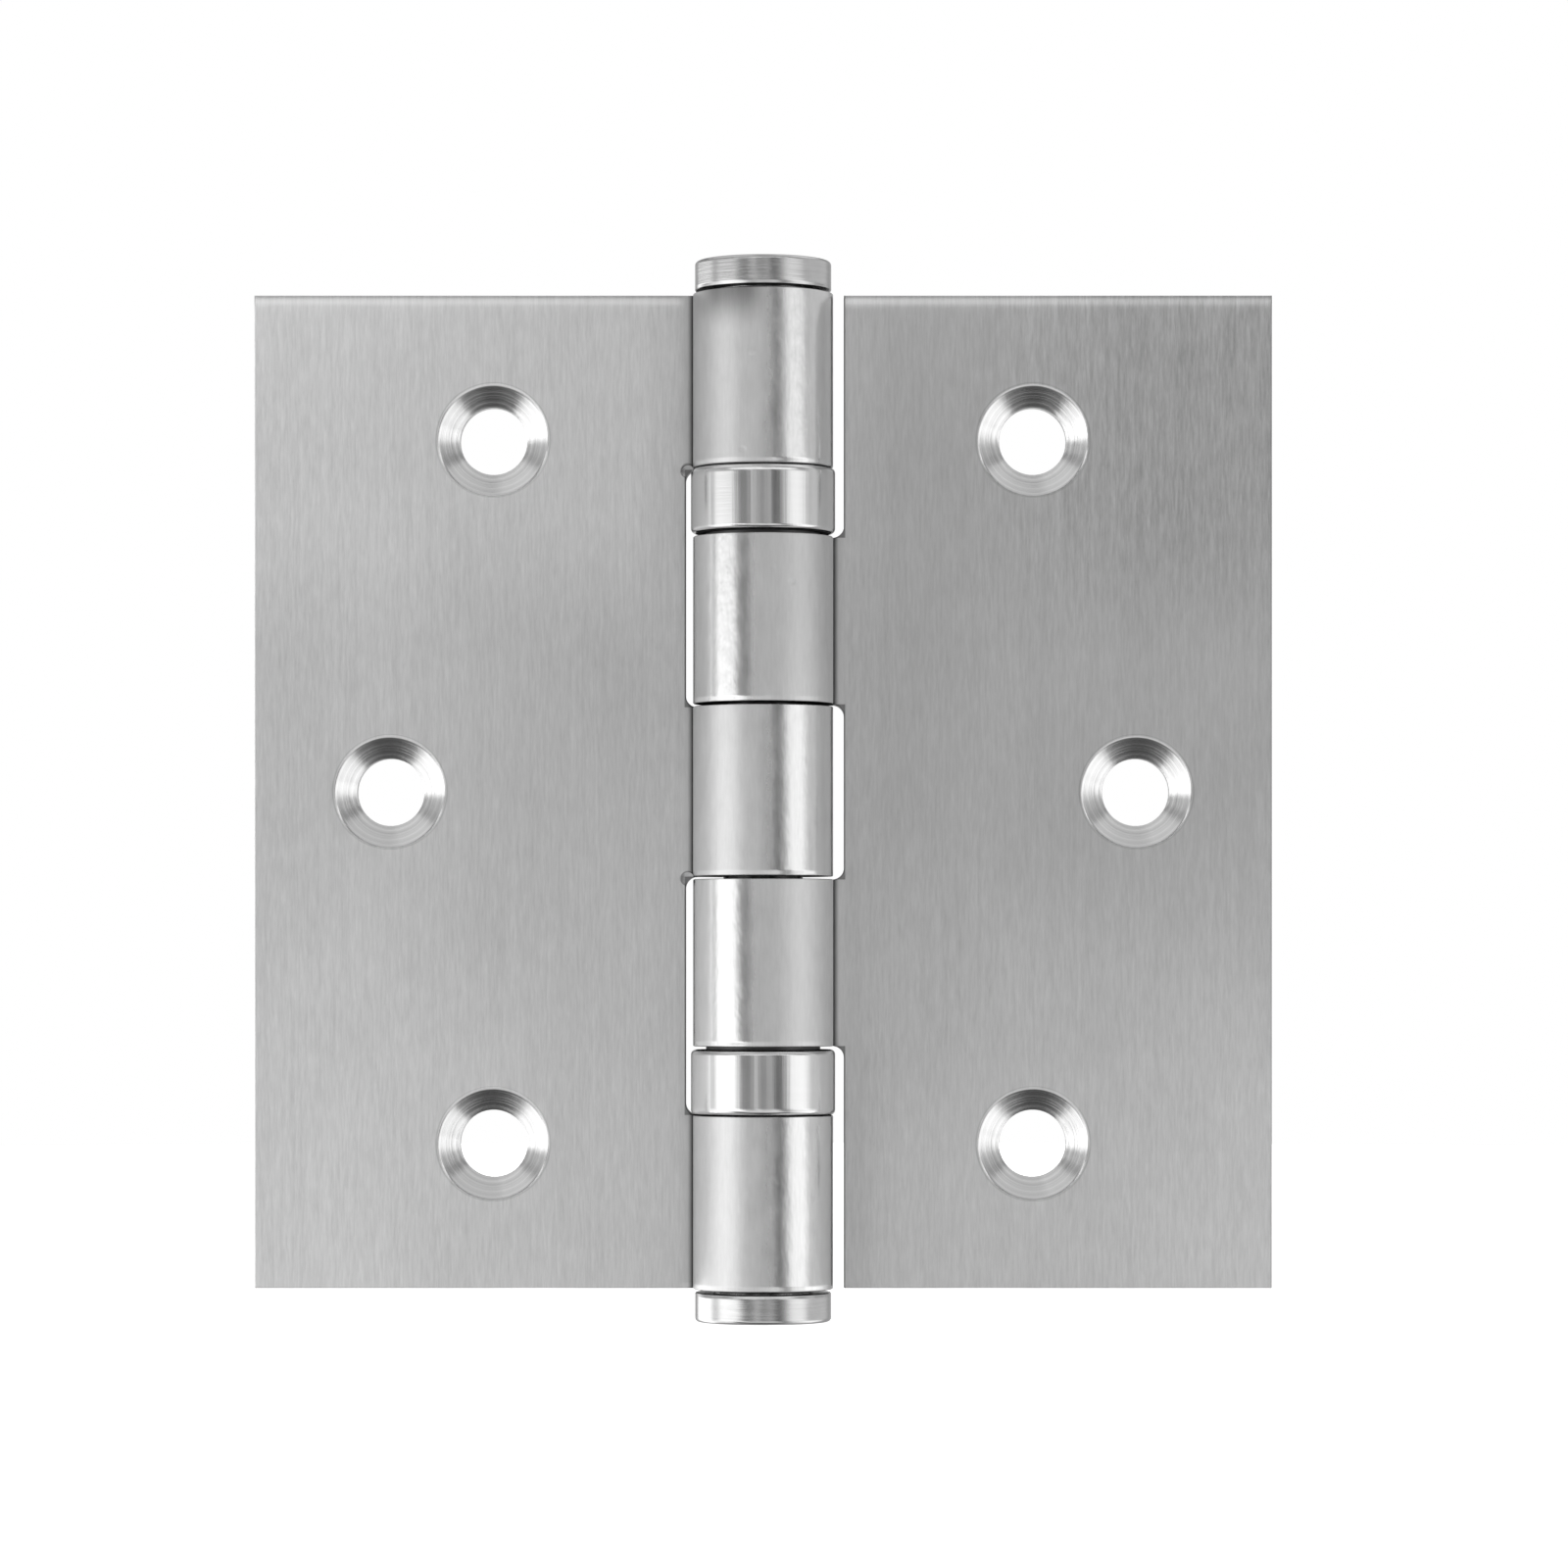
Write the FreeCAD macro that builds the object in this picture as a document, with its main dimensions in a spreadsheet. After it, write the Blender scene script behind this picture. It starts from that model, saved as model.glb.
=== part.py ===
import FreeCAD, Part
import math
import os

import Sketcher

# Ball-bearing butt hinge, opened flat, in millimetres.
# The origin is on the pin's axis at mid-height. +Z runs up the pin, +X towards the door leaf,
# and +Y from the countersunk faces towards the backs of the leaves.

# Driving sizes
SIZES = {
    "leaf_height": 100,
    "leaf_reach": 51.25,
    "leaf_thickness": 3,
    "closed_gap": 1.6,
    "swage_radius": 6,
    "seam_gap": 0.3,
    "edge_break": 0.08,
    "end_knuckle_height": 17.45,
    "middle_knuckle_height": 17.05,
    "upper_knuckle_gap": 0.3,
    "lower_knuckle_gap": 0.3,
    "frame_notch_clearance": 0.55,
    "door_notch_clearance": 0.9,
    "notch_corner": 1.2,
    "relief_diameter": 1.3,
    "relief_depth": 1.2,
    "relief_inset": 0.2,
    "hole_diameter": 6.8,
    "countersink_diameter": 11.2,
    "countersink_angle": 110,
    "inner_hole_reach": 27.2,
    "outer_hole_reach": 37.6,
    "hole_pitch": 35.45,
    "pin_diameter": 8,
    "pin_clearance": 0.05,
    "pin_lead": 0.6,
    "head_diameter": 13.7,
    "head_height": 2.96,
    "head_round": 0.4,
    "boss_diameter": 10,
    "boss_height": 0.32,
    "plug_length": 6,
    "plug_clearance": 0.02,
    "plug_gap": 0.4,
    "bearing_height": 6.95,
    "bearing_diameter": 14.5,
    "shell_wall": 0.5,
    "shell_round": 0.5,
    "frame_shell_gap": 0.05,
    "door_shell_gap": 0.33,
    "lip_width": 0.9,
    "lip_clearance": 0.1,
    "race_clearance": 0.1,
    "race_fit": 0.02,
    "ball_diameter": 1.8,
    "ball_clearance": 0.05,
    "ball_count": 8,
    "groove_depth": 0.3,
    "cage_thickness": 0.8,
    "cage_clearance": 0.15,
}

doc = FreeCAD.newDocument("ButtHinge")
sizes = doc.addObject("Spreadsheet::Sheet", "Sizes")
for row, (alias, value) in enumerate(SIZES.items(), 1):
    sizes.set(f"A{row}", alias)
    sizes.set(f"B{row}", str(value))
    sizes.setAlias(f"B{row}", alias)
doc.recompute()

# Radii and levels that follow from the driving sizes
PIN = "(Sizes.pin_diameter / 2)"
BORE = f"({PIN} + Sizes.pin_clearance)"
BARREL = f"({BORE} + Sizes.leaf_thickness)"
BEARING = "(Sizes.bearing_diameter / 2)"
FRONT = "(Sizes.closed_gap / 2)"
BACK = f"({FRONT} + Sizes.leaf_thickness)"
END = "(Sizes.leaf_height / 2)"
END_KNUCKLE = f"({END} - Sizes.end_knuckle_height)"
TURNING_KNUCKLE = f"({END_KNUCKLE} - Sizes.bearing_height)"
MIDDLE_KNUCKLE = "(Sizes.middle_knuckle_height / 2)"
BEARING_LEVEL = f"({END_KNUCKLE} - Sizes.bearing_height / 2)"
FRAME_NOTCH = f"({BEARING} + Sizes.frame_notch_clearance)"
DOOR_NOTCH = f"({BEARING} + Sizes.door_notch_clearance)"

pieces = []


def measure(expression):
    """The number that an expression of the sizes stands for."""
    result = sizes.evalExpression(expression)
    return getattr(result, "Value", result)


def new_body(label):
    body = doc.addObject("PartDesign::Body", label)
    body.Label = label
    pieces.append(body)
    return body


def sketch_on(body, plane, name, offset="0"):
    """A sketch on one of the body's own origin planes, or in front of it by an offset."""
    sketch = body.newObject("Sketcher::SketchObject", name)
    support = next(part for part in body.Origin.OriginFeatures if part.Role == plane)
    sketch.AttachmentSupport = [(support, "")]
    sketch.MapMode = "FlatFace"
    sketch.setExpression("AttachmentOffset.Base.z", offset)
    return sketch


def bind(sketch, constraint, expression):
    """Add a dimension that follows the sizes."""
    index = sketch.addConstraint(constraint)
    sketch.setExpression(f"Constraints[{index}]", expression)


def place_point(sketch, geometry, end, across, up):
    """Hold a point of the sketch at two expressions from the sketch's origin."""
    bind(sketch, Sketcher.Constraint("DistanceX", -1, 1, geometry, end, measure(across)), across)
    bind(sketch, Sketcher.Constraint("DistanceY", -1, 1, geometry, end, measure(up)), up)


def draw_outline(sketch, corners):
    """A closed outline of straight lines, each corner given by two expressions."""
    points = [FreeCAD.Vector(measure(across), measure(up), 0) for across, up in corners]
    lines = []
    for point, following in zip(points, points[1:] + points[:1]):
        lines.append(sketch.addGeometry(Part.LineSegment(point, following), False))
    for before, line in zip(lines[-1:] + lines[:-1], lines):
        sketch.addConstraint(Sketcher.Constraint("Coincident", before, 2, line, 1))
    for line, (across, up) in zip(lines, corners):
        place_point(sketch, line, 1, across, up)


def draw_circle(sketch, across, up, radius):
    centre = FreeCAD.Vector(measure(across), measure(up), 0)
    circle = sketch.addGeometry(Part.Circle(centre, FreeCAD.Vector(0, 0, 1), measure(radius)), False)
    place_point(sketch, circle, 3, across, up)
    bind(sketch, Sketcher.Constraint("Radius", circle, measure(radius)), radius)


def revolve(body, sketch, kind="Revolution"):
    """Turn the sketch once round its own upright axis."""
    turned = body.newObject(f"PartDesign::{kind}", kind)
    turned.Profile = sketch
    turned.ReferenceAxis = (sketch, ["V_Axis"])
    turned.Angle = 360
    return turned


def cut_through(body, sketch):
    """Cut the sketch through the whole body, both ways from its plane."""
    pocket = body.newObject("PartDesign::Pocket", "Cut")
    pocket.Profile = sketch
    pocket.Type = "ThroughAll"
    pocket.SideType = "Symmetric"
    return pocket


def dress_edges(body, kind, size, value, wanted):
    """Fillet or chamfer the edges of the body as it stands that the test picks."""
    doc.recompute()
    base = body.Tip
    names = [f"Edge{n}" for n, edge in enumerate(base.Shape.Edges, 1) if wanted(base.Shape, edge)]
    dressed = body.newObject(f"PartDesign::{kind}", kind)
    dressed.Base = (base, names)
    dressed.setExpression(size, value)
    return dressed


def fillet(body, value, wanted):
    return dress_edges(body, "Fillet", "Radius", value, wanted)


def chamfer(body, value, wanted):
    return dress_edges(body, "Chamfer", "Size", value, wanted)


def near(value, target):
    return abs(value - target) < 1e-4


def circle_at(radius, *levels):
    """A test that picks whole circles of one radius at any of these levels."""

    def wanted(shape, edge):
        if not isinstance(edge.Curve, Part.Circle) or len(edge.Vertexes) > 1:
            return False
        level = edge.Curve.Center.z
        return near(edge.Curve.Radius, radius) and any(near(level, other) for other in levels)

    return wanted


# Leaves
# A leaf is one strip with broken edges: a flat plate bends back on one arc until it is tangent
# to the barrel, and its tabs go on round the pin to a seam in front of the plate.
STAND_OFF = f"({BARREL} + Sizes.swage_radius)"
LEAN = f"asin(({BACK} + Sizes.swage_radius) / {STAND_OFF})"
SEAM_BEND = "(Sizes.swage_radius + Sizes.leaf_thickness + Sizes.seam_gap)"
SEAM_BACK = f"acos(({STAND_OFF}^2 + {BARREL}^2 - {SEAM_BEND}^2) / (2 * {STAND_OFF} * {BARREL}))"
SEAM = f"({LEAN} - {SEAM_BACK})"


def draw_plate(sketch, side):
    """Section of the flat plate and its bend, up to the line where the curl begins."""
    reach = side * measure("Sizes.leaf_reach")
    front = measure(FRONT)
    back = measure(BACK)
    bend = measure("Sizes.swage_radius")
    thickness = measure("Sizes.leaf_thickness")
    lean = math.radians(measure(LEAN))
    outward = FreeCAD.Vector(side * math.cos(lean), math.sin(lean), 0)
    centre = outward * measure(STAND_OFF)
    turns = (-math.pi / 2, -lean) if side < 0 else (math.pi + lean, 3 * math.pi / 2)
    first, last = (1, 2) if side < 0 else (2, 1)

    def line(start, end):
        return sketch.addGeometry(Part.LineSegment(start, end), False)

    def arc(radius):
        circle = Part.Circle(centre, FreeCAD.Vector(0, 0, 1), radius)
        return sketch.addGeometry(Part.ArcOfCircle(circle, *turns), False)

    front_face = line(FreeCAD.Vector(reach, front, 0), FreeCAD.Vector(centre.x, front, 0))
    front_bend = arc(bend + thickness)
    curl_start = line(outward * measure(BORE), outward * measure(BARREL))
    back_bend = arc(bend)
    back_face = line(FreeCAD.Vector(centre.x, back, 0), FreeCAD.Vector(reach, back, 0))
    outer_end = line(FreeCAD.Vector(reach, back, 0), FreeCAD.Vector(reach, front, 0))

    sketch.addConstraint(
        [
            Sketcher.Constraint("Tangent", front_face, 2, front_bend, first),
            Sketcher.Constraint("Coincident", front_bend, last, curl_start, 1),
            Sketcher.Constraint("Coincident", curl_start, 2, back_bend, last),
            Sketcher.Constraint("Tangent", back_bend, first, back_face, 1),
            Sketcher.Constraint("Coincident", back_face, 2, outer_end, 1),
            Sketcher.Constraint("Coincident", outer_end, 2, front_face, 1),
            Sketcher.Constraint("Coincident", front_bend, 3, back_bend, 3),
            Sketcher.Constraint("PointOnObject", -1, 1, curl_start),
            Sketcher.Constraint("PointOnObject", back_bend, 3, curl_start),
            Sketcher.Constraint("Horizontal", front_face),
            Sketcher.Constraint("Horizontal", back_face),
            Sketcher.Constraint("Vertical", outer_end),
        ]
    )
    place_point(sketch, front_face, 1, f"{side} * Sizes.leaf_reach", FRONT)
    bind(sketch, Sketcher.Constraint("DistanceY", -1, 1, back_face, 2, back), BACK)
    bind(sketch, Sketcher.Constraint("Radius", back_bend, bend), "Sizes.swage_radius")
    bind(sketch, Sketcher.Constraint("Distance", -1, 1, curl_start, 1, measure(BORE)), BORE)


def draw_curl_section(sketch, low, high):
    """Section of one rolled knuckle: the sheet's thickness with its edges broken."""
    edge = "Sizes.edge_break"
    corners = []
    for level, inward in ((low, "+"), (high, "-")):
        turn = [(BORE, f"{level} {inward} {edge}"), (f"{BORE} + {edge}", level)]
        turn += [(f"{BARREL} - {edge}", level), (BARREL, f"{level} {inward} {edge}")]
        corners += turn if level == low else turn[::-1]
    draw_outline(sketch, corners)


def face_kind(face):
    """Whether a face of a plate is one of its broad faces, its rim or the start of a curl."""
    axis = face.Surface.Axis
    flat = isinstance(face.Surface, Part.Plane)
    if near(abs(axis.y if flat else axis.z), 1):
        return "broad"
    if near(abs(axis.x), 1) or near(abs(axis.y), 1) or near(abs(axis.z), 1):
        return "rim"
    return "curl start"


def make_leaf(label, side, notch_reach, notches, reliefs, knuckles, holes):
    """A leaf: notched plate with broken edges, corner reliefs, rolled knuckles, screw holes."""
    body = new_body(label)
    plate_sketch = sketch_on(body, "XY_Plane", "PlateSection")
    draw_plate(plate_sketch, side)
    pad = body.newObject("PartDesign::Pad", "Plate")
    pad.Profile = plate_sketch
    pad.SideType = "Symmetric"
    pad.setExpression("Length", "Sizes.leaf_height")

    notch_sketch = sketch_on(body, "XZ_Plane", "Notches")
    inner = f"{side} * {notch_reach}"
    for low, high in notches:
        draw_outline(notch_sketch, [(inner, low), ("0", low), ("0", high), (inner, high)])
    cut_through(body, notch_sketch)

    corner_x = side * measure(notch_reach)
    end_level = measure(END)

    def notch_corner(shape, edge):
        box = edge.BoundBox
        across = near(box.XMin, corner_x) and near(box.XMax, corner_x) and near(box.ZLength, 0)
        return across and abs(box.ZMin) < end_level - 1e-4

    fillet(body, "Sizes.notch_corner", notch_corner)

    def sheet_edge(shape, edge):
        kinds = sorted(face_kind(face) for face in shape.ancestorsOfType(edge, Part.Face))
        return kinds == ["broad", "rim"]

    chamfer(body, "Sizes.edge_break", sheet_edge)

    if reliefs:
        relief_sketch = sketch_on(body, "XZ_Plane", "Reliefs", f"-{FRONT}")
        across = f"{side} * ({notch_reach} - Sizes.relief_inset)"
        for level in reliefs:
            draw_circle(relief_sketch, across, level, "Sizes.relief_diameter / 2")
        relief = body.newObject("PartDesign::Pocket", "Relief")
        relief.Profile = relief_sketch
        relief.setExpression("Length", "Sizes.relief_depth")

    curl_sketch = sketch_on(body, "XZ_Plane", "CurlSections")
    curl_sketch.AttachmentOffset = FreeCAD.Placement(
        FreeCAD.Vector(), FreeCAD.Rotation(FreeCAD.Vector(0, 1, 0), 90)
    )
    first_turn = LEAN if side > 0 else f"(180 deg - {SEAM})"
    curl_sketch.setExpression("AttachmentOffset.Rotation.Angle", first_turn)
    for low, high in knuckles:
        draw_curl_section(curl_sketch, low, high)
    doc.recompute()
    curls = revolve(body, curl_sketch)
    curls.setExpression("Angle", f"360 deg - {LEAN} + {SEAM}")

    hole_sketch = sketch_on(body, "XZ_Plane", "ScrewHoles", f"-{FRONT}")
    for reach, level in holes:
        draw_circle(hole_sketch, f"{side} * {reach}", level, "Sizes.hole_diameter / 2")
    doc.recompute()
    hole = body.newObject("PartDesign::Hole", "Countersinks")
    hole.Profile = hole_sketch
    hole.DepthType = "ThroughAll"
    hole.HoleCutType = "Countersink"
    hole.HoleCutCustomValues = True
    hole.setExpression("Diameter", "Sizes.hole_diameter")
    hole.setExpression("HoleCutDiameter", "Sizes.countersink_diameter")
    hole.setExpression("HoleCutCountersinkAngle", "Sizes.countersink_angle")
    return body


HOLES = [
    ("Sizes.inner_hole_reach", "Sizes.hole_pitch"),
    ("Sizes.outer_hole_reach", "0"),
    ("Sizes.inner_hole_reach", "-Sizes.hole_pitch"),
]

UPPER_MIDDLE = f"({MIDDLE_KNUCKLE} + Sizes.upper_knuckle_gap)"
LOWER_MIDDLE = f"({MIDDLE_KNUCKLE} + Sizes.lower_knuckle_gap)"

frame_leaf = make_leaf(
    "frame_leaf",
    -1,
    FRAME_NOTCH,
    [(MIDDLE_KNUCKLE, END_KNUCKLE), (f"-{END_KNUCKLE}", f"-{MIDDLE_KNUCKLE}")],
    [f"{END_KNUCKLE} - Sizes.relief_inset", f"-{MIDDLE_KNUCKLE} - Sizes.relief_inset"],
    [(END_KNUCKLE, END), (f"-{MIDDLE_KNUCKLE}", MIDDLE_KNUCKLE), (f"-{END}", f"-{END_KNUCKLE}")],
    HOLES,
)
door_leaf = make_leaf(
    "door_leaf",
    1,
    DOOR_NOTCH,
    [(TURNING_KNUCKLE, END), (f"-{LOWER_MIDDLE}", UPPER_MIDDLE), (f"-{END}", f"-{TURNING_KNUCKLE}")],
    [],
    [(UPPER_MIDDLE, TURNING_KNUCKLE), (f"-{TURNING_KNUCKLE}", f"-{LOWER_MIDDLE}")],
    HOLES,
)

# Pin and bottom tip
# Both are turned. A boss under each button head seats on the end knuckle and leaves a fine gap
# round it. The tip's plug is pressed into the lowest knuckle below the pin.
HEAD = "(Sizes.head_diameter / 2)"
BOSS = "(Sizes.boss_diameter / 2)"
HEAD_FOOT = f"({END} + Sizes.boss_height)"
HEAD_TOP = f"({HEAD_FOOT} + Sizes.head_height)"
PLUG_TOP = f"({END} - Sizes.plug_length)"


def make_button(label, way, shank, shank_end):
    """A headed shank on the pin's axis, with its head at the upper (1) or lower (-1) end."""
    body = new_body(label)
    sketch = sketch_on(body, "XZ_Plane", "HalfSection")
    levels = [
        ("0", HEAD_TOP),
        (HEAD, HEAD_TOP),
        (HEAD, HEAD_FOOT),
        (BOSS, HEAD_FOOT),
        (BOSS, END),
        (shank, END),
        (shank, shank_end),
        ("0", shank_end),
    ]
    draw_outline(sketch, [(radius, f"{way} * ({level})") for radius, level in levels])
    revolve(body, sketch)
    fillet(body, "Sizes.head_round", circle_at(measure(HEAD), way * measure(HEAD_TOP)))
    chamfer(body, "Sizes.edge_break", circle_at(measure(HEAD), way * measure(HEAD_FOOT)))
    chamfer(body, "Sizes.pin_lead", circle_at(measure(shank), way * measure(shank_end)))


make_button("hinge_pin", 1, PIN, f"-({PLUG_TOP} - Sizes.plug_gap)")
make_button("bottom_tip", -1, f"({BORE} - Sizes.plug_clearance)", PLUG_TOP)

# Thrust bearings
# Each is drawn about its own middle with the frame leaf's race on top, and the lower one is
# turned over. A thin shell, curled in at both ends, holds the two races and the caged balls.
# It is tight on the frame leaf's race and stands further off the door leaf's knuckle.
HALF_BEARING = "(Sizes.bearing_height / 2)"
FRAME_SHELL_END = f"({HALF_BEARING} - Sizes.frame_shell_gap)"
DOOR_SHELL_END = f"({HALF_BEARING} - Sizes.door_shell_gap)"
FRAME_LIP = f"({FRAME_SHELL_END} - Sizes.shell_wall)"
DOOR_LIP = f"({DOOR_SHELL_END} - Sizes.shell_wall)"
SHELL_BORE = f"({BEARING} - Sizes.shell_wall)"
LIP_BORE = f"({SHELL_BORE} - Sizes.lip_width)"
BALL = "(Sizes.ball_diameter / 2)"
RACE_FACE = f"({BALL} - Sizes.groove_depth)"
PITCH = f"(({PIN} + {SHELL_BORE}) / 2)"
POCKET = f"({BALL} + Sizes.ball_clearance)"


def place_bearing_piece(piece, end):
    """Put a piece at the upper (1) or lower (-1) bearing, the lower one turned over."""
    turn = 0 if end > 0 else 180
    piece.Placement = FreeCAD.Placement(
        FreeCAD.Vector(), FreeCAD.Rotation(FreeCAD.Vector(1, 0, 0), turn)
    )
    piece.setExpression("Placement.Base.z", f"{end} * {BEARING_LEVEL}")


def make_shell(label, end):
    body = new_body(label)
    sketch = sketch_on(body, "XZ_Plane", "HalfSection")
    outside = [(LIP_BORE, FRAME_SHELL_END), (BEARING, FRAME_SHELL_END)]
    outside += [(BEARING, f"-{DOOR_SHELL_END}"), (LIP_BORE, f"-{DOOR_SHELL_END}")]
    inside = [(LIP_BORE, f"-{DOOR_LIP}"), (SHELL_BORE, f"-{DOOR_LIP}")]
    inside += [(SHELL_BORE, FRAME_LIP), (LIP_BORE, FRAME_LIP)]
    draw_outline(sketch, outside + inside)
    revolve(body, sketch)
    ends = circle_at(measure(BEARING), measure(FRAME_SHELL_END), -measure(DOOR_SHELL_END))
    fillet(body, "Sizes.shell_round", ends)
    place_bearing_piece(body, end)


def make_race(label, end, way, radius, shoulder):
    """A grooved race on the frame leaf's side (1) or the door leaf's side (-1) of the balls."""
    body = new_body(label)
    sketch = sketch_on(body, "XZ_Plane", "HalfSection")
    boss = f"({LIP_BORE} - Sizes.lip_clearance)"
    corners = [
        (BORE, HALF_BEARING),
        (boss, HALF_BEARING),
        (boss, shoulder),
        (radius, shoulder),
        (radius, RACE_FACE),
        (BORE, RACE_FACE),
    ]
    draw_outline(sketch, [(across, f"{way} * {level}") for across, level in corners])
    revolve(body, sketch)
    groove_sketch = sketch_on(body, "XZ_Plane", "Raceway")
    flank = f"(sqrt(2) * {POCKET})"
    diamond = [(f"{PITCH} - {flank}", "0"), (PITCH, f"-{flank}")]
    diamond += [(f"{PITCH} + {flank}", "0"), (PITCH, flank)]
    draw_outline(groove_sketch, diamond)
    doc.recompute()
    revolve(body, groove_sketch, "Groove")
    place_bearing_piece(body, end)


def make_cage(label, end):
    body = new_body(label)
    sketch = sketch_on(body, "XY_Plane", "Ring")
    draw_circle(sketch, "0", "0", f"{PIN} + Sizes.cage_clearance")
    draw_circle(sketch, "0", "0", f"{SHELL_BORE} - Sizes.cage_clearance")
    ring = body.newObject("PartDesign::Pad", "Ring")
    ring.Profile = sketch
    ring.SideType = "Symmetric"
    ring.setExpression("Length", "Sizes.cage_thickness")
    doc.recompute()
    pocket_sketch = sketch_on(body, "XY_Plane", "BallPocket")
    draw_circle(pocket_sketch, PITCH, "0", POCKET)
    pocket = cut_through(body, pocket_sketch)
    doc.recompute()
    around = body.newObject("PartDesign::PolarPattern", "BallPockets")
    around.Originals = [pocket]
    around.Axis = (pocket_sketch, ["N_Axis"])
    around.Angle = 360
    around.setExpression("Occurrences", "Sizes.ball_count")
    body.Tip = around
    place_bearing_piece(body, end)


def make_ball(label, end, number):
    ball = doc.addObject("Part::Sphere", label)
    ball.Label = label
    pieces.append(ball)
    ball.setExpression("Radius", BALL)
    turn = f"({number} * 360 deg / Sizes.ball_count)"
    ball.setExpression("Placement.Base.x", f"{PITCH} * cos{turn}")
    ball.setExpression("Placement.Base.y", f"{PITCH} * sin{turn}")
    ball.setExpression("Placement.Base.z", f"{end} * {BEARING_LEVEL}")


for name, end in (("upper", 1), ("lower", -1)):
    make_shell(f"{name}_bearing_shell", end)
    make_race(f"{name}_bearing_frame_race", end, 1, f"({SHELL_BORE} - Sizes.race_fit)", FRAME_LIP)
    make_race(
        f"{name}_bearing_door_race",
        end,
        -1,
        f"({SHELL_BORE} - Sizes.race_clearance)",
        f"({DOOR_LIP} - Sizes.lip_clearance)",
    )
    make_cage(f"{name}_bearing_cage", end)
    for number in range(int(measure("Sizes.ball_count"))):
        make_ball(f"{name}_ball_{number + 1}", end, number)

# Checks and files
doc.recompute()
for thing in doc.Objects:
    if "Invalid" in thing.State or "Error" in thing.State:
        raise RuntimeError(f"{thing.Label} did not build")
for piece in pieces:
    if piece.Shape.isNull() or not piece.Shape.isValid():
        raise RuntimeError(f"{piece.Label} has no valid shape")
    if len(piece.Shape.Solids) != 1:
        raise RuntimeError(f"{piece.Label} is not one solid")

os.makedirs("parts", exist_ok=True)
for piece in pieces:
    piece.Shape.exportStep(f"parts/{piece.Label}.step")
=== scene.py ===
import math

import bpy
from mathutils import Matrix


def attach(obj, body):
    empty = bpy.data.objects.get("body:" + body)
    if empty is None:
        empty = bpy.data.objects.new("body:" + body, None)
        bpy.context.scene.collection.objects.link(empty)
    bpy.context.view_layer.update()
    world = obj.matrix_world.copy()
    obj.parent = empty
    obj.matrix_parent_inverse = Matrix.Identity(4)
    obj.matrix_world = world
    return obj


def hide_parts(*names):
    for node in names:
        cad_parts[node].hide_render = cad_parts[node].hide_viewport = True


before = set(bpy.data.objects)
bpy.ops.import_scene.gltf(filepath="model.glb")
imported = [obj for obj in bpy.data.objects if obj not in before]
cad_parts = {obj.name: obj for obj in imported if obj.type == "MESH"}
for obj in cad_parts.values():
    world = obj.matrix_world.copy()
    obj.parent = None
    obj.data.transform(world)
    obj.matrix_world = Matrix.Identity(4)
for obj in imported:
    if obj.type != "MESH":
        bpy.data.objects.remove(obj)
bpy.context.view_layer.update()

# Frame leaf and door leaf
# Each is one strip of 3 mm stainless sheet, notched, rolled round the pin and satin brushed along
# the pin. The countersinks are turned afterwards, so their cones carry rings instead of the grain.


class Shade:
    """A value or a shape in a node tree. Arithmetic on a value adds the Math nodes."""

    def __init__(self, tree, socket=None):
        self.tree = tree
        self.socket = socket

    def add(self, kind, settings=(), sockets=(), output=0):
        """Add a node, its settings first and then the values or links of its sockets."""
        node = self.tree.nodes.new(kind)
        for name, value in dict(settings).items():
            setattr(node, name, value)
        for name, value in dict(sockets).items():
            if isinstance(value, Shade):
                self.tree.links.new(value.socket, node.inputs[name])
            else:
                node.inputs[name].default_value = value
        return Shade(self.tree, node.outputs[output] if node.outputs else None)

    def maths(self, operation, *values):
        return self.add("ShaderNodeMath", {"operation": operation}, enumerate(values))

    def __add__(self, other):
        return self.maths("ADD", self, other)

    __radd__ = __add__

    def __sub__(self, other):
        return self.maths("SUBTRACT", self, other)

    def __rsub__(self, other):
        return self.maths("SUBTRACT", other, self)

    def __mul__(self, other):
        return self.maths("MULTIPLY", self, other)

    __rmul__ = __mul__

    def __truediv__(self, other):
        return self.maths("DIVIDE", self, other)

    def __pow__(self, other):
        return self.maths("POWER", self, other)

    def __abs__(self):
        return self.maths("ABSOLUTE", self)

    def __lt__(self, other):
        return self.maths("LESS_THAN", self, other)

    def __gt__(self, other):
        return self.maths("GREATER_THAN", self, other)

    def least(self, other):
        return self.maths("MINIMUM", self, other)

    def most(self, other):
        return self.maths("MAXIMUM", self, other)

    def axes(self):
        """The three parts of a vector."""
        split = self.add("ShaderNodeSeparateXYZ", (), {0: self})
        return [Shade(self.tree, output) for output in split.socket.node.outputs]

    def ease(self, low, high, start=0.0, end=1.0):
        """Move smoothly from start to end as this value goes from low to high."""
        sockets = {"Value": self, "From Min": low, "From Max": high, "To Min": start, "To Max": end}
        return self.add("ShaderNodeMapRange", {"interpolation_type": "SMOOTHSTEP"}, sockets)


def new_finish(name):
    """An empty material and a place to start its nodes, in millimetres of the object's frame."""
    material = bpy.data.materials.new(name)
    material.use_nodes = True
    tree = material.node_tree
    tree.nodes.clear()
    start = Shade(tree)
    place = start.add("ShaderNodeTexCoord", (), (), "Object")
    place = start.add("ShaderNodeMapping", (), {"Vector": place, "Scale": (1000, 1000, 1000)})
    return material, start, place


def stretched_noise(place, scale, detail=2.0, roughness=0.5):
    """Noise with its own scale per axis, from about -0.5 to 0.5."""
    stretched = place.add("ShaderNodeMapping", (), {"Vector": place, "Scale": scale})
    noise = place.add(
        "ShaderNodeTexNoise",
        (),
        {"Vector": stretched, "Scale": 1.0, "Detail": detail, "Roughness": roughness},
    )
    return noise - 0.5


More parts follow.
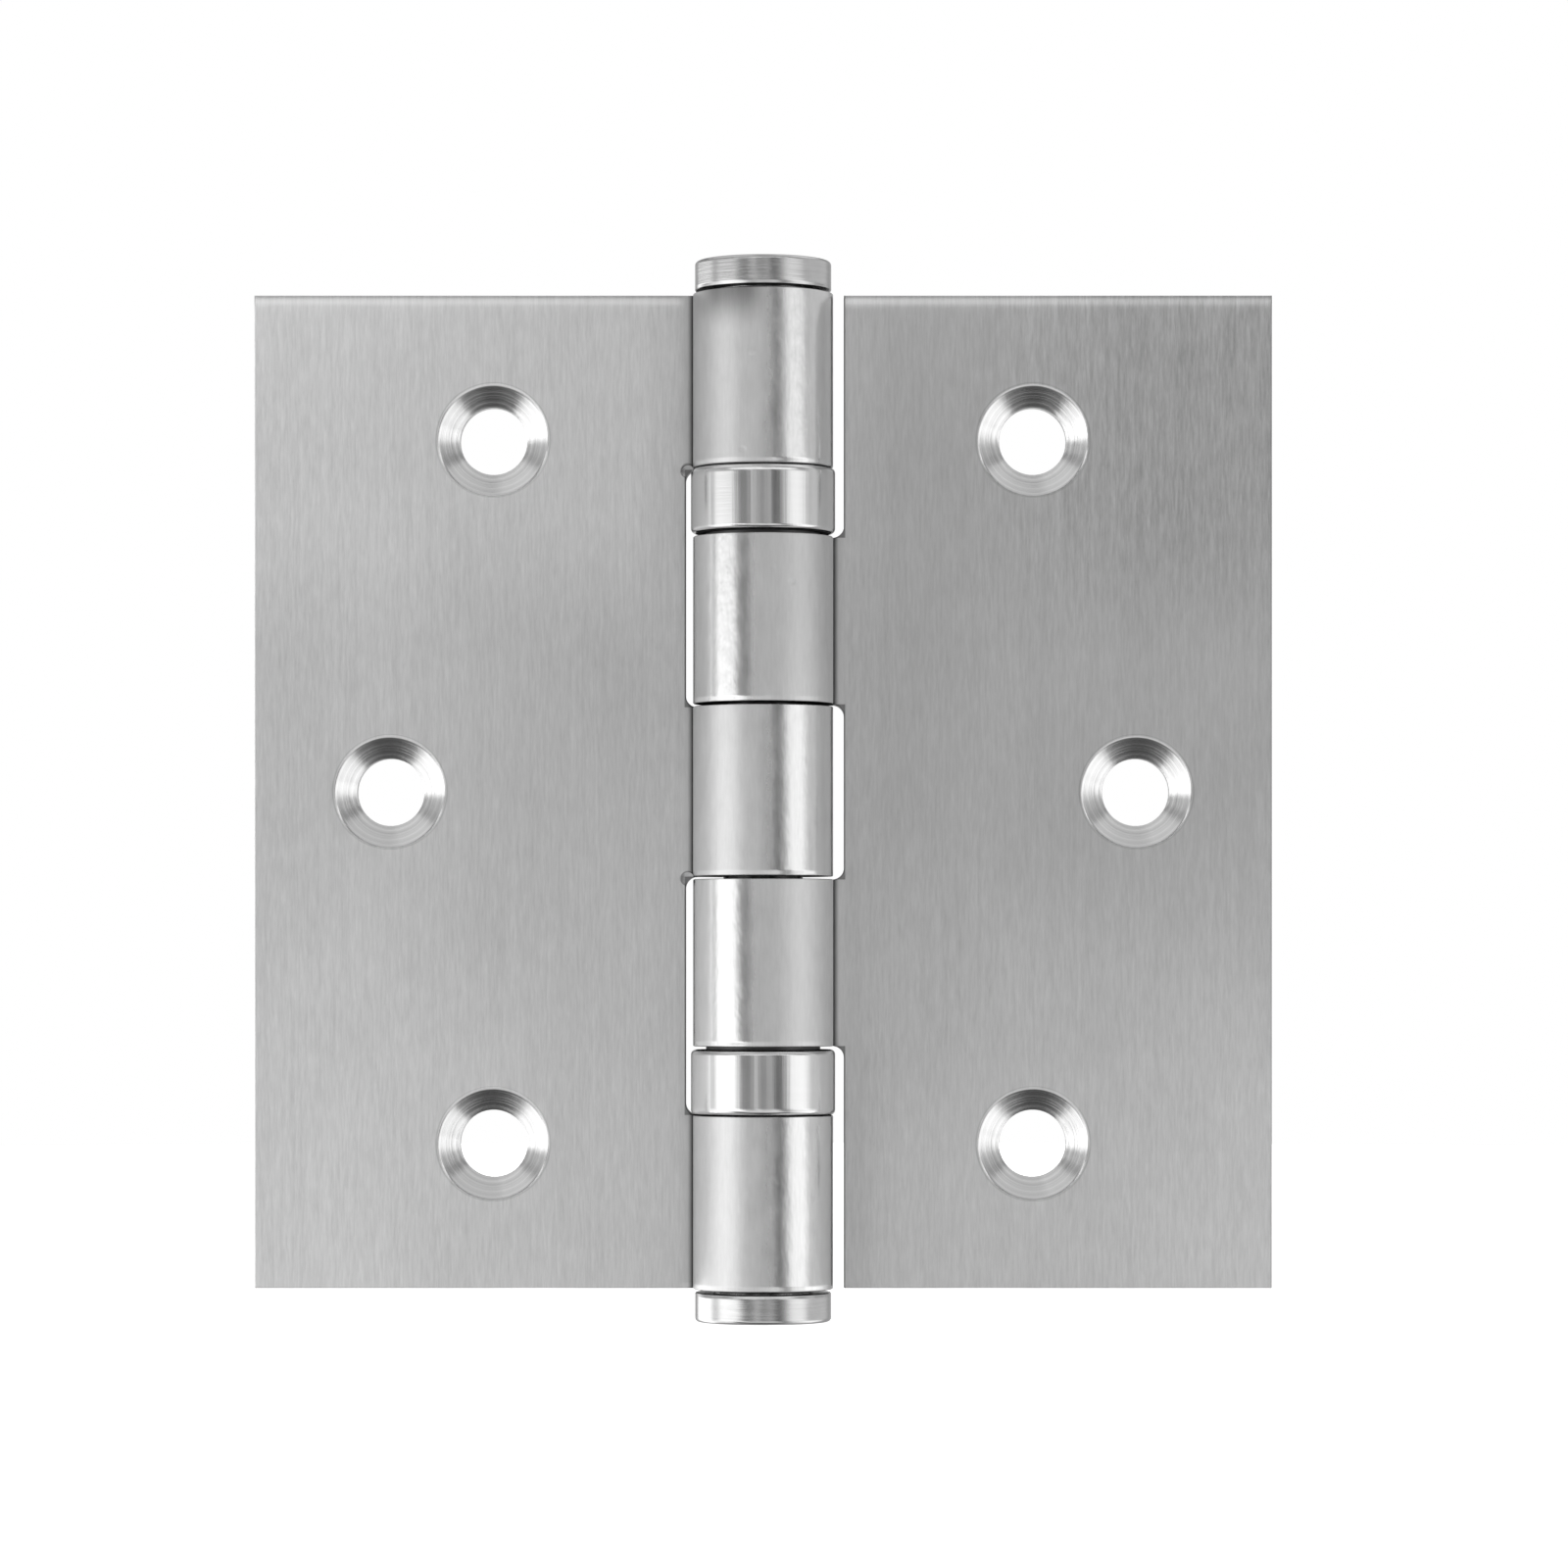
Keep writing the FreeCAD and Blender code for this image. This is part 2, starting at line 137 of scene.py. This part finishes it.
def steel(start, colour, roughness, bump, anisotropic=0.0):
    """Bare metal with its values on its own sockets."""
    return start.add(
        "ShaderNodeBsdfPrincipled",
        (),
        {
            "Base Color": colour,
            "Metallic": 1.0,
            "Roughness": roughness,
            "Normal": bump,
            "Anisotropic": anisotropic,
        },
    )


def tint(start, colour, shade):
    """A colour made lighter or darker by a value."""
    grey = start.add("ShaderNodeCombineXYZ", (), {0: shade, 1: shade, 2: shade})
    return start.add("ShaderNodeVectorMath", {"operation": "MULTIPLY"}, {0: grey, 1: colour})


def relief(start, height, depth, under=None):
    """A bump from a height in units of depth, in metres, over another bump if one is given."""
    sockets = {"Height": height, "Distance": depth, "Strength": 1.0}
    if under is not None:
        sockets["Normal"] = under
    return start.add("ShaderNodeBump", (), sockets, "Normal")


def close(start, surface):
    """Send a shader to the material's output."""
    start.add("ShaderNodeOutputMaterial", (), {"Surface": surface})


def nearest(distances):
    """The least of some distances."""
    least = distances[0]
    for distance in distances[1:]:
        least = least.least(distance)
    return least


# Millimetres from the pin's axis and the middle of its height. The sheet's front face lies at a depth
# of 0.8 and its back face at 3.8.
leaf_edge = 50.0
leaf_reach = 51.25
front_depth = 2.0
back_depth = 3.7
barrel_radius = 7.05
bend_start = 7.6
bend_end = 8.6
end_knuckle_height = 17.45
middle_knuckle_height = 17.05
bearing_height = 6.95
knuckle_gap = 0.3
end_knuckle_foot = leaf_edge - end_knuckle_height
middle_top = middle_knuckle_height / 2
turning_top = end_knuckle_foot - bearing_height
turning_foot = middle_top + knuckle_gap

hole_pitch = 35.45
inner_hole_reach = 27.2
outer_hole_reach = 37.6
hole_radius = 3.4
countersink_radius = 5.6
countersink_tilt = math.radians(55)
rim_width = 0.2
relief_reach = 7.6
relief_drop = 0.2
relief_radius = 0.65
relief_levels = (end_knuckle_foot - relief_drop, -middle_top - relief_drop)
nick_places = ((-1.1, 43.6), (-2.0, 33.8), (1.1, 22.4), (2.9, 20.7))
nick_radius = 0.5
blotch_middle = -3.2
rings_per_millimetre = 2.0
top_roll = 1.8
bump_per_square = 1.1e-3
stainless = (0.62, 0.62, 0.62)
fresh_cut = (0.67, 0.67, 0.67)


def finish_leaf(
    name, side, notch_edge, knuckles, dark_ends, near, away, outer, top_tone, rolled, coarse
):
    """Satin sheet outside, a smoother curl on the barrel, turned cones in the holes.

    near is the sheet's brightness by the barrel, painted light and shade. away and outer change it
    past the bend and near the outer edge, each with a part for the whole height, one for the top and
    one for the foot, again as painted light and shade. top_tone darkens the band along the top edge as
    painted shade, rolled is the barrel's roughness, and coarse makes the grain stronger at the upper
    outer corner.
    """
    material, start, place = new_finish(name)
    x, y, z = place.axes()
    reach = abs(x)
    out = side * x
    front = y < front_depth
    streaks = stretched_noise(place, (4.2, 1.0, 0.42), 4, 0.7)
    scratches = stretched_noise(place, (1.6, 1.0, 0.05), 3, 0.6)
    cloud = stretched_noise(place, (0.07, 0.07, 0.05), 3)
    dents = stretched_noise(place, (0.9, 0.9, 0.55), 2)

    # Distance from the nearest hole's axis: the middle hole stands farther out than the other two
    middle = abs(z) < hole_pitch / 2
    across = out - inner_hole_reach - (outer_hole_reach - inner_hole_reach) * middle
    up = z - z.maths("SIGN", z) * hole_pitch * (1 - middle)
    offset = (across ** 2 + up ** 2) ** 0.5
    rim = (countersink_radius + rim_width - offset).most(0.0) * front
    lead = (offset - countersink_radius + rim_width).most(0.0)

    # The sheet's brightness from the barrel outwards, painted light and shade, and painted shade in
    # the places that little light reaches
    top = z.ease(12, 30)
    low = z.ease(4, -34)
    level = near + reach.ease(8.5, 14) * (away[0] + away[1] * top + away[2] * low)
    level = level + reach.ease(20, 45) * (outer[0] + outer[1] * top + outer[2] * low)
    seam = (1 - out.ease(6.95, 7.7)) * out.ease(6.4, 6.6)
    seam = seam * y.ease(0.3, 0.5) * (1 - y.ease(1.4, 1.8))
    beside = 1.0
    for upper, lower in knuckles:
        beside = beside - (z > lower) * (z < upper)
    notch_rim = beside * (1 - (reach - notch_edge).ease(0.04, 0.18))
    right_edge = x.ease(leaf_reach - 0.17, leaf_reach - 0.05)
    # Painted shade in the seam beside the barrel, along the notches' rims and at the door leaf's outer
    # edge
    unlit = (1 - 0.85 * seam) * (1 - 0.6 * notch_rim) * (1 - 0.35 * right_edge)
    if side < 0:
        corner = nearest(
            [((out - relief_reach) ** 2 + (z - level) ** 2) ** 0.5 for level in relief_levels]
        )
        # Painted shade round the edge of each relief pocket
        relief_ring = 1 - abs(corner - relief_radius).ease(0.05, 0.16)
        unlit = unlit * (1 - 0.5 * relief_ring * front)
    # Painted shade in a thin ring just outside each countersink
    hole_ring = 1 - abs(offset - countersink_radius - 0.12).ease(0.04, 0.16)
    unlit = unlit * (1 - 0.22 * hole_ring * front)
    rough_corner = 1 + 1.1 * coarse * reach.ease(18, 34) * z.ease(12, 32)
    grain = 1 + (0.42 * streaks + 0.17 * scratches) * rough_corner + 0.18 * cloud
    # Painted shade: a darker band along the top edge
    painted_top_edge_shade = 1 - top_tone * (leaf_edge - z).ease(1.5, 0.4)
    sheet_colour = tint(start, stainless, level * grain * unlit * painted_top_edge_shade)
    rolled_top = (1 - (leaf_edge - z).least(top_roll) / top_roll) ** 3
    sheet_bump = relief(start, 0.5 * streaks + 0.5 * scratches, 7e-6)
    sheet_bump = relief(start, 0 - rolled_top, 1.2e-4, sheet_bump)
    sheet_bump = relief(start, 0 - rim ** 2, bump_per_square, sheet_bump)
    sheet = steel(start, sheet_colour, 0.38 + 0.1 * streaks, sheet_bump, 0.85)

    # The barrel: smoother than the sheet, most of all past its middle, with dents and nicks, a patch
    # darker near its top left of the middle, and painted shade towards the top on its leaf's side
    far = out.ease(2, -2.5)
    spots = stretched_noise(place, (0.8, 0.8, 0.35), 4, 0.6)
    # A patch darker near the barrel's top, left of the middle
    blotch = z.ease(45.5, 50.2) * (1 - abs(x - blotch_middle).ease(1.4, 4.4))
    wear_and_painted_shade = (1 + 0.22 * streaks + 0.16 * spots + 0.12 * cloud) * (1 - 0.62 * blotch)
    # Painted shade: darker towards the top on the barrel's side towards its own leaf
    wear_and_painted_shade = wear_and_painted_shade * (1 - 0.09 * z.ease(0, 20) * out.ease(0.5, 3))
    barrel_colour = tint(start, stainless, wear_and_painted_shade * unlit)
    barrel_rough = rolled + (0.19 - rolled) * far + 0.12 * spots
    nick = nearest([((x - across) ** 2 + (z - up) ** 2) ** 0.5 for across, up in nick_places])
    rolled_end = nearest([abs(z - lower) for upper, lower in knuckles]).ease(0, 0.6)
    barrel_bump = relief(start, 0.35 * streaks + 0.2 * scratches, 4e-6)
    barrel_bump = relief(start, dents, 2.4e-5, barrel_bump)
    barrel_bump = relief(start, nick.ease(0.1, nick_radius), 3e-5, barrel_bump)
    barrel_bump = relief(start, rolled_end, 7e-5, barrel_bump)
    barrel = steel(start, barrel_colour, barrel_rough, barrel_bump)
    on_sheet = reach.ease(bend_start, bend_end)
    skin = start.add("ShaderNodeMixShader", (), {0: on_sheet, 1: barrel, 2: sheet})

    # The knuckles' end faces lie in shadow, so they are matt black and mirror nothing
    gap_shadow = start.add(
        "ShaderNodeBsdfPrincipled",
        (),
        {"Base Color": (0.02, 0.02, 0.02, 1), "Roughness": 1.0, "Specular IOR Level": 0.0},
    )
    end = nearest([abs(z - level) for level in dark_ends])
    in_gap = 1 - end.ease(0.01, 0.04)
    in_gap = in_gap * (1 - reach.ease(barrel_radius - 0.05, barrel_radius + 0.05))
    skin = start.add("ShaderNodeMixShader", (), {0: in_gap, 1: skin, 2: gap_shadow})

    # The cones: rings round each hole's axis, on normals worked out from the cone's own shape
    rings = start.add(
        "ShaderNodeTexNoise",
        {"noise_dimensions": "1D"},
        {
            "W": offset * rings_per_millimetre + 0.3 * cloud,
            "Scale": 1.0,
            "Detail": 3.0,
            "Roughness": 0.62,
        },
    ) - 0.5
    cone_colour = tint(start, fresh_cut, 1 + 0.75 * rings)
    wall = offset < hole_radius + 0.02
    inward = (0 - math.cos(countersink_tilt) - (1 - math.cos(countersink_tilt)) * wall) / offset
    facing = start.add(
        "ShaderNodeCombineXYZ",
        (),
        {0: side * inward * across, 1: (wall - 1) * math.sin(countersink_tilt), 2: inward * up},
    )
    facing = start.add(
        "ShaderNodeVectorTransform",
        {"vector_type": "NORMAL", "convert_from": "OBJECT", "convert_to": "WORLD"},
        {"Vector": facing},
    )
    cone_bump = relief(start, rings, 3e-5, facing)
    cone_bump = relief(start, dents, 1.6e-5, cone_bump)
    cone_bump = relief(start, 0 - lead ** 2, bump_per_square, cone_bump)
    cone = steel(start, cone_colour, 0.21 + 0.1 * rings, cone_bump)
    cut = (offset < countersink_radius) * (y < back_depth)
    close(start, start.add("ShaderNodeMixShader", (), {0: cut, 1: skin, 2: cone}))
    return material


def dress(node, material):
    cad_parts[node].data.materials.clear()
    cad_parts[node].data.materials.append(material)


frame_satin = finish_leaf(
    "satin frame leaf",
    side=-1,
    notch_edge=7.8,
    knuckles=(
        (leaf_edge, end_knuckle_foot),
        (middle_top, -middle_top),
        (-end_knuckle_foot, -leaf_edge),
    ),
    dark_ends=(leaf_edge, middle_top, -middle_top, -end_knuckle_foot, -leaf_edge),
    # Painted light and shade: the frame leaf's brightness by the barrel, past the bend and near its
    # edge
    near=1.17,
    away=(-0.08, 0.16, 0.09),
    outer=(0.12, 0.0, 0.0),
    top_tone=0.2,
    rolled=0.39,
    coarse=0.0,
)
dress("frame_leaf", frame_satin)
door_satin = finish_leaf(
    "satin door leaf",
    side=1,
    notch_edge=8.15,
    knuckles=((turning_top, turning_foot), (-turning_foot, -turning_top)),
    dark_ends=(turning_top, turning_foot, -turning_foot, -turning_top),
    # Painted light and shade: the door leaf's brightness by the barrel, past the bend and near its
    # edge
    near=1.07,
    away=(-0.14, 0.0, 0.16),
    outer=(0.0, -0.13, 0.06),
    top_tone=0.0,
    rolled=0.47,
    coarse=1.0,
)
dress("door_leaf", door_satin)


# Pin and bottom tip
# Both are turned from stainless bar, and their button heads keep fine rings from the lathe. The pin
# drops through all five knuckles, and the tip is pressed into the lowest one.
button_level = 50.3
bar_steel = (0.52, 0.52, 0.52)


def finish_turned(name):
    material, start, place = new_finish(name)
    level = abs(place.axes()[2])
    lines = stretched_noise(place, (0.12, 0.12, 5.0), 4, 0.7)
    blotch = stretched_noise(place, (0.5, 0.5, 0.8), 3)
    foot = level.ease(button_level + 0.02, button_level + 0.47)
    # Painted shade: below the button heads, where the pin lies inside the knuckles, its colour is
    # darkened almost to black
    shank_in_painted_shade = 0.08 + 0.92 * (level > button_level)
    colour = tint(start, bar_steel, (1 + 0.3 * lines + 0.18 * blotch) * shank_in_painted_shade)
    bump = relief(start, lines, 1e-5)
    bump = relief(start, foot, 6e-5, bump)
    close(start, steel(start, colour, 0.18 + 0.1 * blotch, bump))
    return material


turned = finish_turned("turned steel")
dress("hinge_pin", turned)
dress("bottom_tip", turned)


# Thrust bearings
# Each is a thin drawn shell, polished and curled in at both ends, over two grooved races and eight
# balls in a brass cage.
bearing_level = (end_knuckle_foot + turning_top) / 2
shell_inner_radius = 6.75
shell_curl_start = 2.6
drawn_steel = (0.63, 0.63, 0.63)
ball_count = 8
ball_radius = 0.0009
ball_ring_radius = 0.005375


def angle_noise(start, place, count, seed):
    """Noise that runs round the pin's axis in about this many waves."""
    x, y, z = place.axes()
    length = (x ** 2 + y ** 2) ** 0.5
    along = z * 0.02 + seed
    around = start.add("ShaderNodeCombineXYZ", (), {0: x / length, 1: y / length, 2: along})
    return stretched_noise(around, (count, count, 1.0), 3, 0.6)


def finish_shell(name):
    material, start, place = new_finish(name)
    streaks = angle_noise(start, place, 7.0, 0.0)
    blotch = stretched_noise(place, (0.5, 0.5, 0.3), 3)
    lines = stretched_noise(place, (0.15, 0.15, 3.5), 3, 0.6)
    x, y, z = place.axes()
    radius = (x ** 2 + y ** 2) ** 0.5
    outside = radius.ease(shell_inner_radius - 0.05, shell_inner_radius + 0.1)
    polish = 1 + 0.2 * streaks + 0.1 * blotch + 0.06 * lines
    # Painted shade: inside the bore the colour is darkened almost to black
    colour = tint(start, drawn_steel, polish * (0.08 + 0.92 * outside))
    curl = (abs(abs(z) - bearing_level) - shell_curl_start).most(0.0)
    bump = relief(start, streaks, 2.2e-5)
    bump = relief(start, lines, 2.5e-6, bump)
    bump = relief(start, 0 - curl ** 2, 2.2e-4, bump)
    close(start, steel(start, colour, 0.95 - 0.79 * outside + 0.06 * blotch, bump))
    return material


def finish_plain(name, base, roughness):
    material, start, place = new_finish(name)
    blotch = stretched_noise(place, (1.5, 1.5, 1.5), 3)
    colour = tint(start, base, 1 + 0.15 * blotch)
    close(start, steel(start, colour, roughness + 0.1 * blotch, relief(start, blotch, 2e-6)))
    return material


shell_steel = finish_shell("drawn shell steel")
# Painted shade: the races get a near black colour so the gaps beside the shells read dark
race_steel_in_painted_shade = finish_plain("race steel in painted shade", (0.12, 0.12, 0.12), 0.4)
cage_brass = finish_plain("stamped cage brass", (0.72, 0.56, 0.30), 0.3)
ball_steel = finish_plain("polished ball steel", (0.72, 0.72, 0.73), 0.06)
for row in ("upper", "lower"):
    dress(f"{row}_bearing_shell", shell_steel)
    dress(f"{row}_bearing_frame_race", race_steel_in_painted_shade)
    dress(f"{row}_bearing_door_race", race_steel_in_painted_shade)
    dress(f"{row}_bearing_cage", cage_brass)
    for number in range(1, ball_count + 1):
        dress(f"{row}_ball_{number}", ball_steel)

ball_tree = bpy.data.node_groups.new("ring of balls", "GeometryNodeTree")
ball_tree.interface.new_socket("Geometry", in_out="OUTPUT", socket_type="NodeSocketGeometry")
for name, kind in (
    ("Balls", "NodeSocketInt"),
    ("Ball radius", "NodeSocketFloat"),
    ("Ring radius", "NodeSocketFloat"),
    ("Level", "NodeSocketFloat"),
    ("Steel", "NodeSocketMaterial"),
):
    ball_tree.interface.new_socket(name, in_out="INPUT", socket_type=kind)

size_sockets = ball_tree.nodes.new("NodeGroupInput").outputs
sizes = {socket.name: Shade(ball_tree, socket) for socket in size_sockets if socket.name}
identifiers = {socket.name: socket.identifier for socket in size_sockets if socket.name}
begin = Shade(ball_tree)
circle = begin.add(
    "GeometryNodeMeshCircle",
    (),
    {"Vertices": sizes["Balls"], "Radius": sizes["Ring radius"]},
)
height = begin.add("ShaderNodeCombineXYZ", (), {"Z": sizes["Level"]})
circle = begin.add("GeometryNodeTransform", (), {"Geometry": circle, "Translation": height})
ball = begin.add(
    "GeometryNodeMeshUVSphere",
    (),
    {"Segments": 32, "Rings": 16, "Radius": sizes["Ball radius"]},
)
ball = begin.add("GeometryNodeSetShadeSmooth", (), {"Geometry": ball})
balls = begin.add("GeometryNodeInstanceOnPoints", (), {"Points": circle, "Instance": ball})
balls = begin.add("GeometryNodeRealizeInstances", (), {"Geometry": balls})
balls = begin.add("GeometryNodeSetMaterial", (), {"Geometry": balls, "Material": sizes["Steel"]})
begin.add("NodeGroupOutput", (), {"Geometry": balls})

for row, level in (("upper", bearing_level / 1000), ("lower", -bearing_level / 1000)):
    ring = bpy.data.objects.new(f"{row}_ball_ring", bpy.data.meshes.new("points"))
    bpy.context.scene.collection.objects.link(ring)
    spread = ring.modifiers.new("ring of balls", "NODES")
    spread.node_group = ball_tree
    spread[identifiers["Balls"]] = ball_count
    spread[identifiers["Ball radius"]] = ball_radius
    spread[identifiers["Ring radius"]] = ball_ring_radius
    spread[identifiers["Level"]] = level
    spread[identifiers["Steel"]] = ball_steel
    made = ring.evaluated_get(bpy.context.evaluated_depsgraph_get())
    mesh = bpy.data.meshes.new_from_object(made)
    ring.modifiers.remove(spread)
    ring.data = mesh
    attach(ring, f"{row}_cage")
    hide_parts(*[f"{row}_ball_{number}" for number in range(1, ball_count + 1)])


# Floor, light and camera
# A pale floor under the bottom tip, and a studio that the metal mirrors: soft boxes at both sides,
# pale cards and a slit of light in front, a dim ceiling, a dark table, and dark gaps between them.
floor_level = -0.0534
floor_radius = 0.6
floor_sides = 64
floor_mesh = bpy.data.meshes.new("floor")
corners = []
for step in range(floor_sides):
    angle = math.tau * step / floor_sides
    corners.append((floor_radius * math.cos(angle), floor_radius * math.sin(angle), floor_level))
floor_mesh.from_pydata(corners, [], [range(floor_sides)])
floor = bpy.data.objects.new("floor", floor_mesh)
bpy.context.scene.collection.objects.link(floor)
floor.visible_glossy = False
floor.visible_shadow = False
paper, start, place = new_finish("pale paper")
sheet_of_paper = start.add(
    "ShaderNodeBsdfPrincipled",
    (),
    {
        "Base Color": (0.9, 0.9, 0.9, 1),
        "Roughness": 0.9,
        "Emission Color": (1, 1, 1, 1),
        "Emission Strength": 0.9,
    },
)
behind = start.add("ShaderNodeNewGeometry", (), (), "Backfacing")
clear = start.add("ShaderNodeBsdfTransparent")
close(start, start.add("ShaderNodeMixShader", (), {0: behind, 1: sheet_of_paper, 2: clear}))
floor_mesh.materials.append(paper)

world = bpy.data.worlds.new("studio")
bpy.context.scene.world = world
world.use_nodes = True
world.node_tree.nodes.clear()
start = Shade(world.node_tree)
direction = start.add("ShaderNodeTexCoord", (), (), "Generated")
dx, dy, dz = direction.axes()
degrees = 180 / math.pi
turn = start.maths("ARCTAN2", dx, 0 - dy) * degrees
rise = start.maths("ARCSINE", dz) * degrees


def window(value, low, high, soft):
    """One between low and high, falling to nothing over a soft edge centred on each."""
    opening = value.ease(low - soft / 2, low + soft / 2)
    return opening * (1 - value.ease(high - soft / 2, high + soft / 2))


# Degrees: turn is 0 towards the camera and grows to the right, rise is 0 level with the hinge and
# grows upwards, and slant leans a light's sides as the reflections in the knuckles lean.
slant = turn + 0.75 * rise
left_box = window(slant, -84, -41, 14) * window(rise, -19, 2, 17)
left_box = left_box * (1.63 + 0.3 * rise.ease(1, -4))
left_low = 1.3 * window(turn, -92, -54, 12) * window(rise, -46, -3, 16)
left_wrap = 1.85 * window(turn, -145, -95, 14) * window(rise, -44, 6, 8)
left_lamp = 0.95 * window(slant, -80, -44, 10) * window(rise, -1, 5.3, 7)
right_box = 1.45 * window(slant, 40.3, 75, 20) * window(rise, -14, 9, 14)
right_low = 1.25 * window(turn, 48, 120, 24) * window(rise, -44, -11, 16)
slit = 0.44 * window(slant, -16, -9, 4) * window(rise, -12, 12, 10)
low_card = 0.7 * window(turn, -35, 35, 30) * window(rise, -52, -9, 16)
high_card = 1.6 * window(turn, -55, 55, 24) * window(rise, 13, 21.5, 5)
ceiling = 0.4 * rise.ease(33, 36) - 0.5 * rise.ease(76, 86)
back_card = 0.25 * abs(turn).ease(140, 170)
walls = 0.46 + 0.06 * window(slant, -24, 16, 8) + 0.15 * window(slant, 6, 16.5, 4)
walls = walls + 0.52 * window(turn, 74, 140, 30) + 0.3 * window(turn, -135, -60, 40)
level_band = window(rise, -25, 25, 14)
left_gap = 1 - 0.25 * level_band * window(slant, -34, -19, 8)
lens_gap = 1 - 0.22 * level_band * window(turn, -3, 4, 3)
right_gap = 1 - 0.62 * level_band * window(slant, 18, 29.5, 7)
dim = 1 - window(rise, 23, 34, 6) * (0.45 - 0.25 * abs(turn).ease(40, 60))
cards = slit + high_card + ceiling + back_card
lights = walls * left_gap * lens_gap * right_gap * dim
lights = lights + left_box.most(left_low) + left_wrap + left_lamp
lights = lights + right_box.most(right_low) + cards
table = 1 - 0.8 * rise.ease(-34, -46) * (1 - abs(turn).ease(50, 64))
glow = start.add("ShaderNodeBackground", (), {"Strength": lights * table + low_card})
backdrop = start.add("ShaderNodeBackground", (), {"Color": (1, 1, 1, 1), "Strength": 1.0})
camera_ray = start.add("ShaderNodeLightPath", (), (), "Is Camera Ray")
both = start.add("ShaderNodeMixShader", (), {0: camera_ray, 1: glow, 2: backdrop})
start.add("ShaderNodeOutputWorld", (), {"Surface": both})

bpy.context.scene.view_settings.view_transform = "Standard"

camera = bpy.data.objects.new("camera", bpy.data.cameras.new("camera"))
bpy.context.scene.collection.objects.link(camera)
bpy.context.scene.camera = camera
camera.location = (0.0021, -0.577, -0.018)
camera.rotation_euler = (math.radians(90), 0, 0)
camera.data.lens = 131.7
camera.data.sensor_width = 36
camera.data.shift_y = 0.119
camera.data.clip_start = 0.01
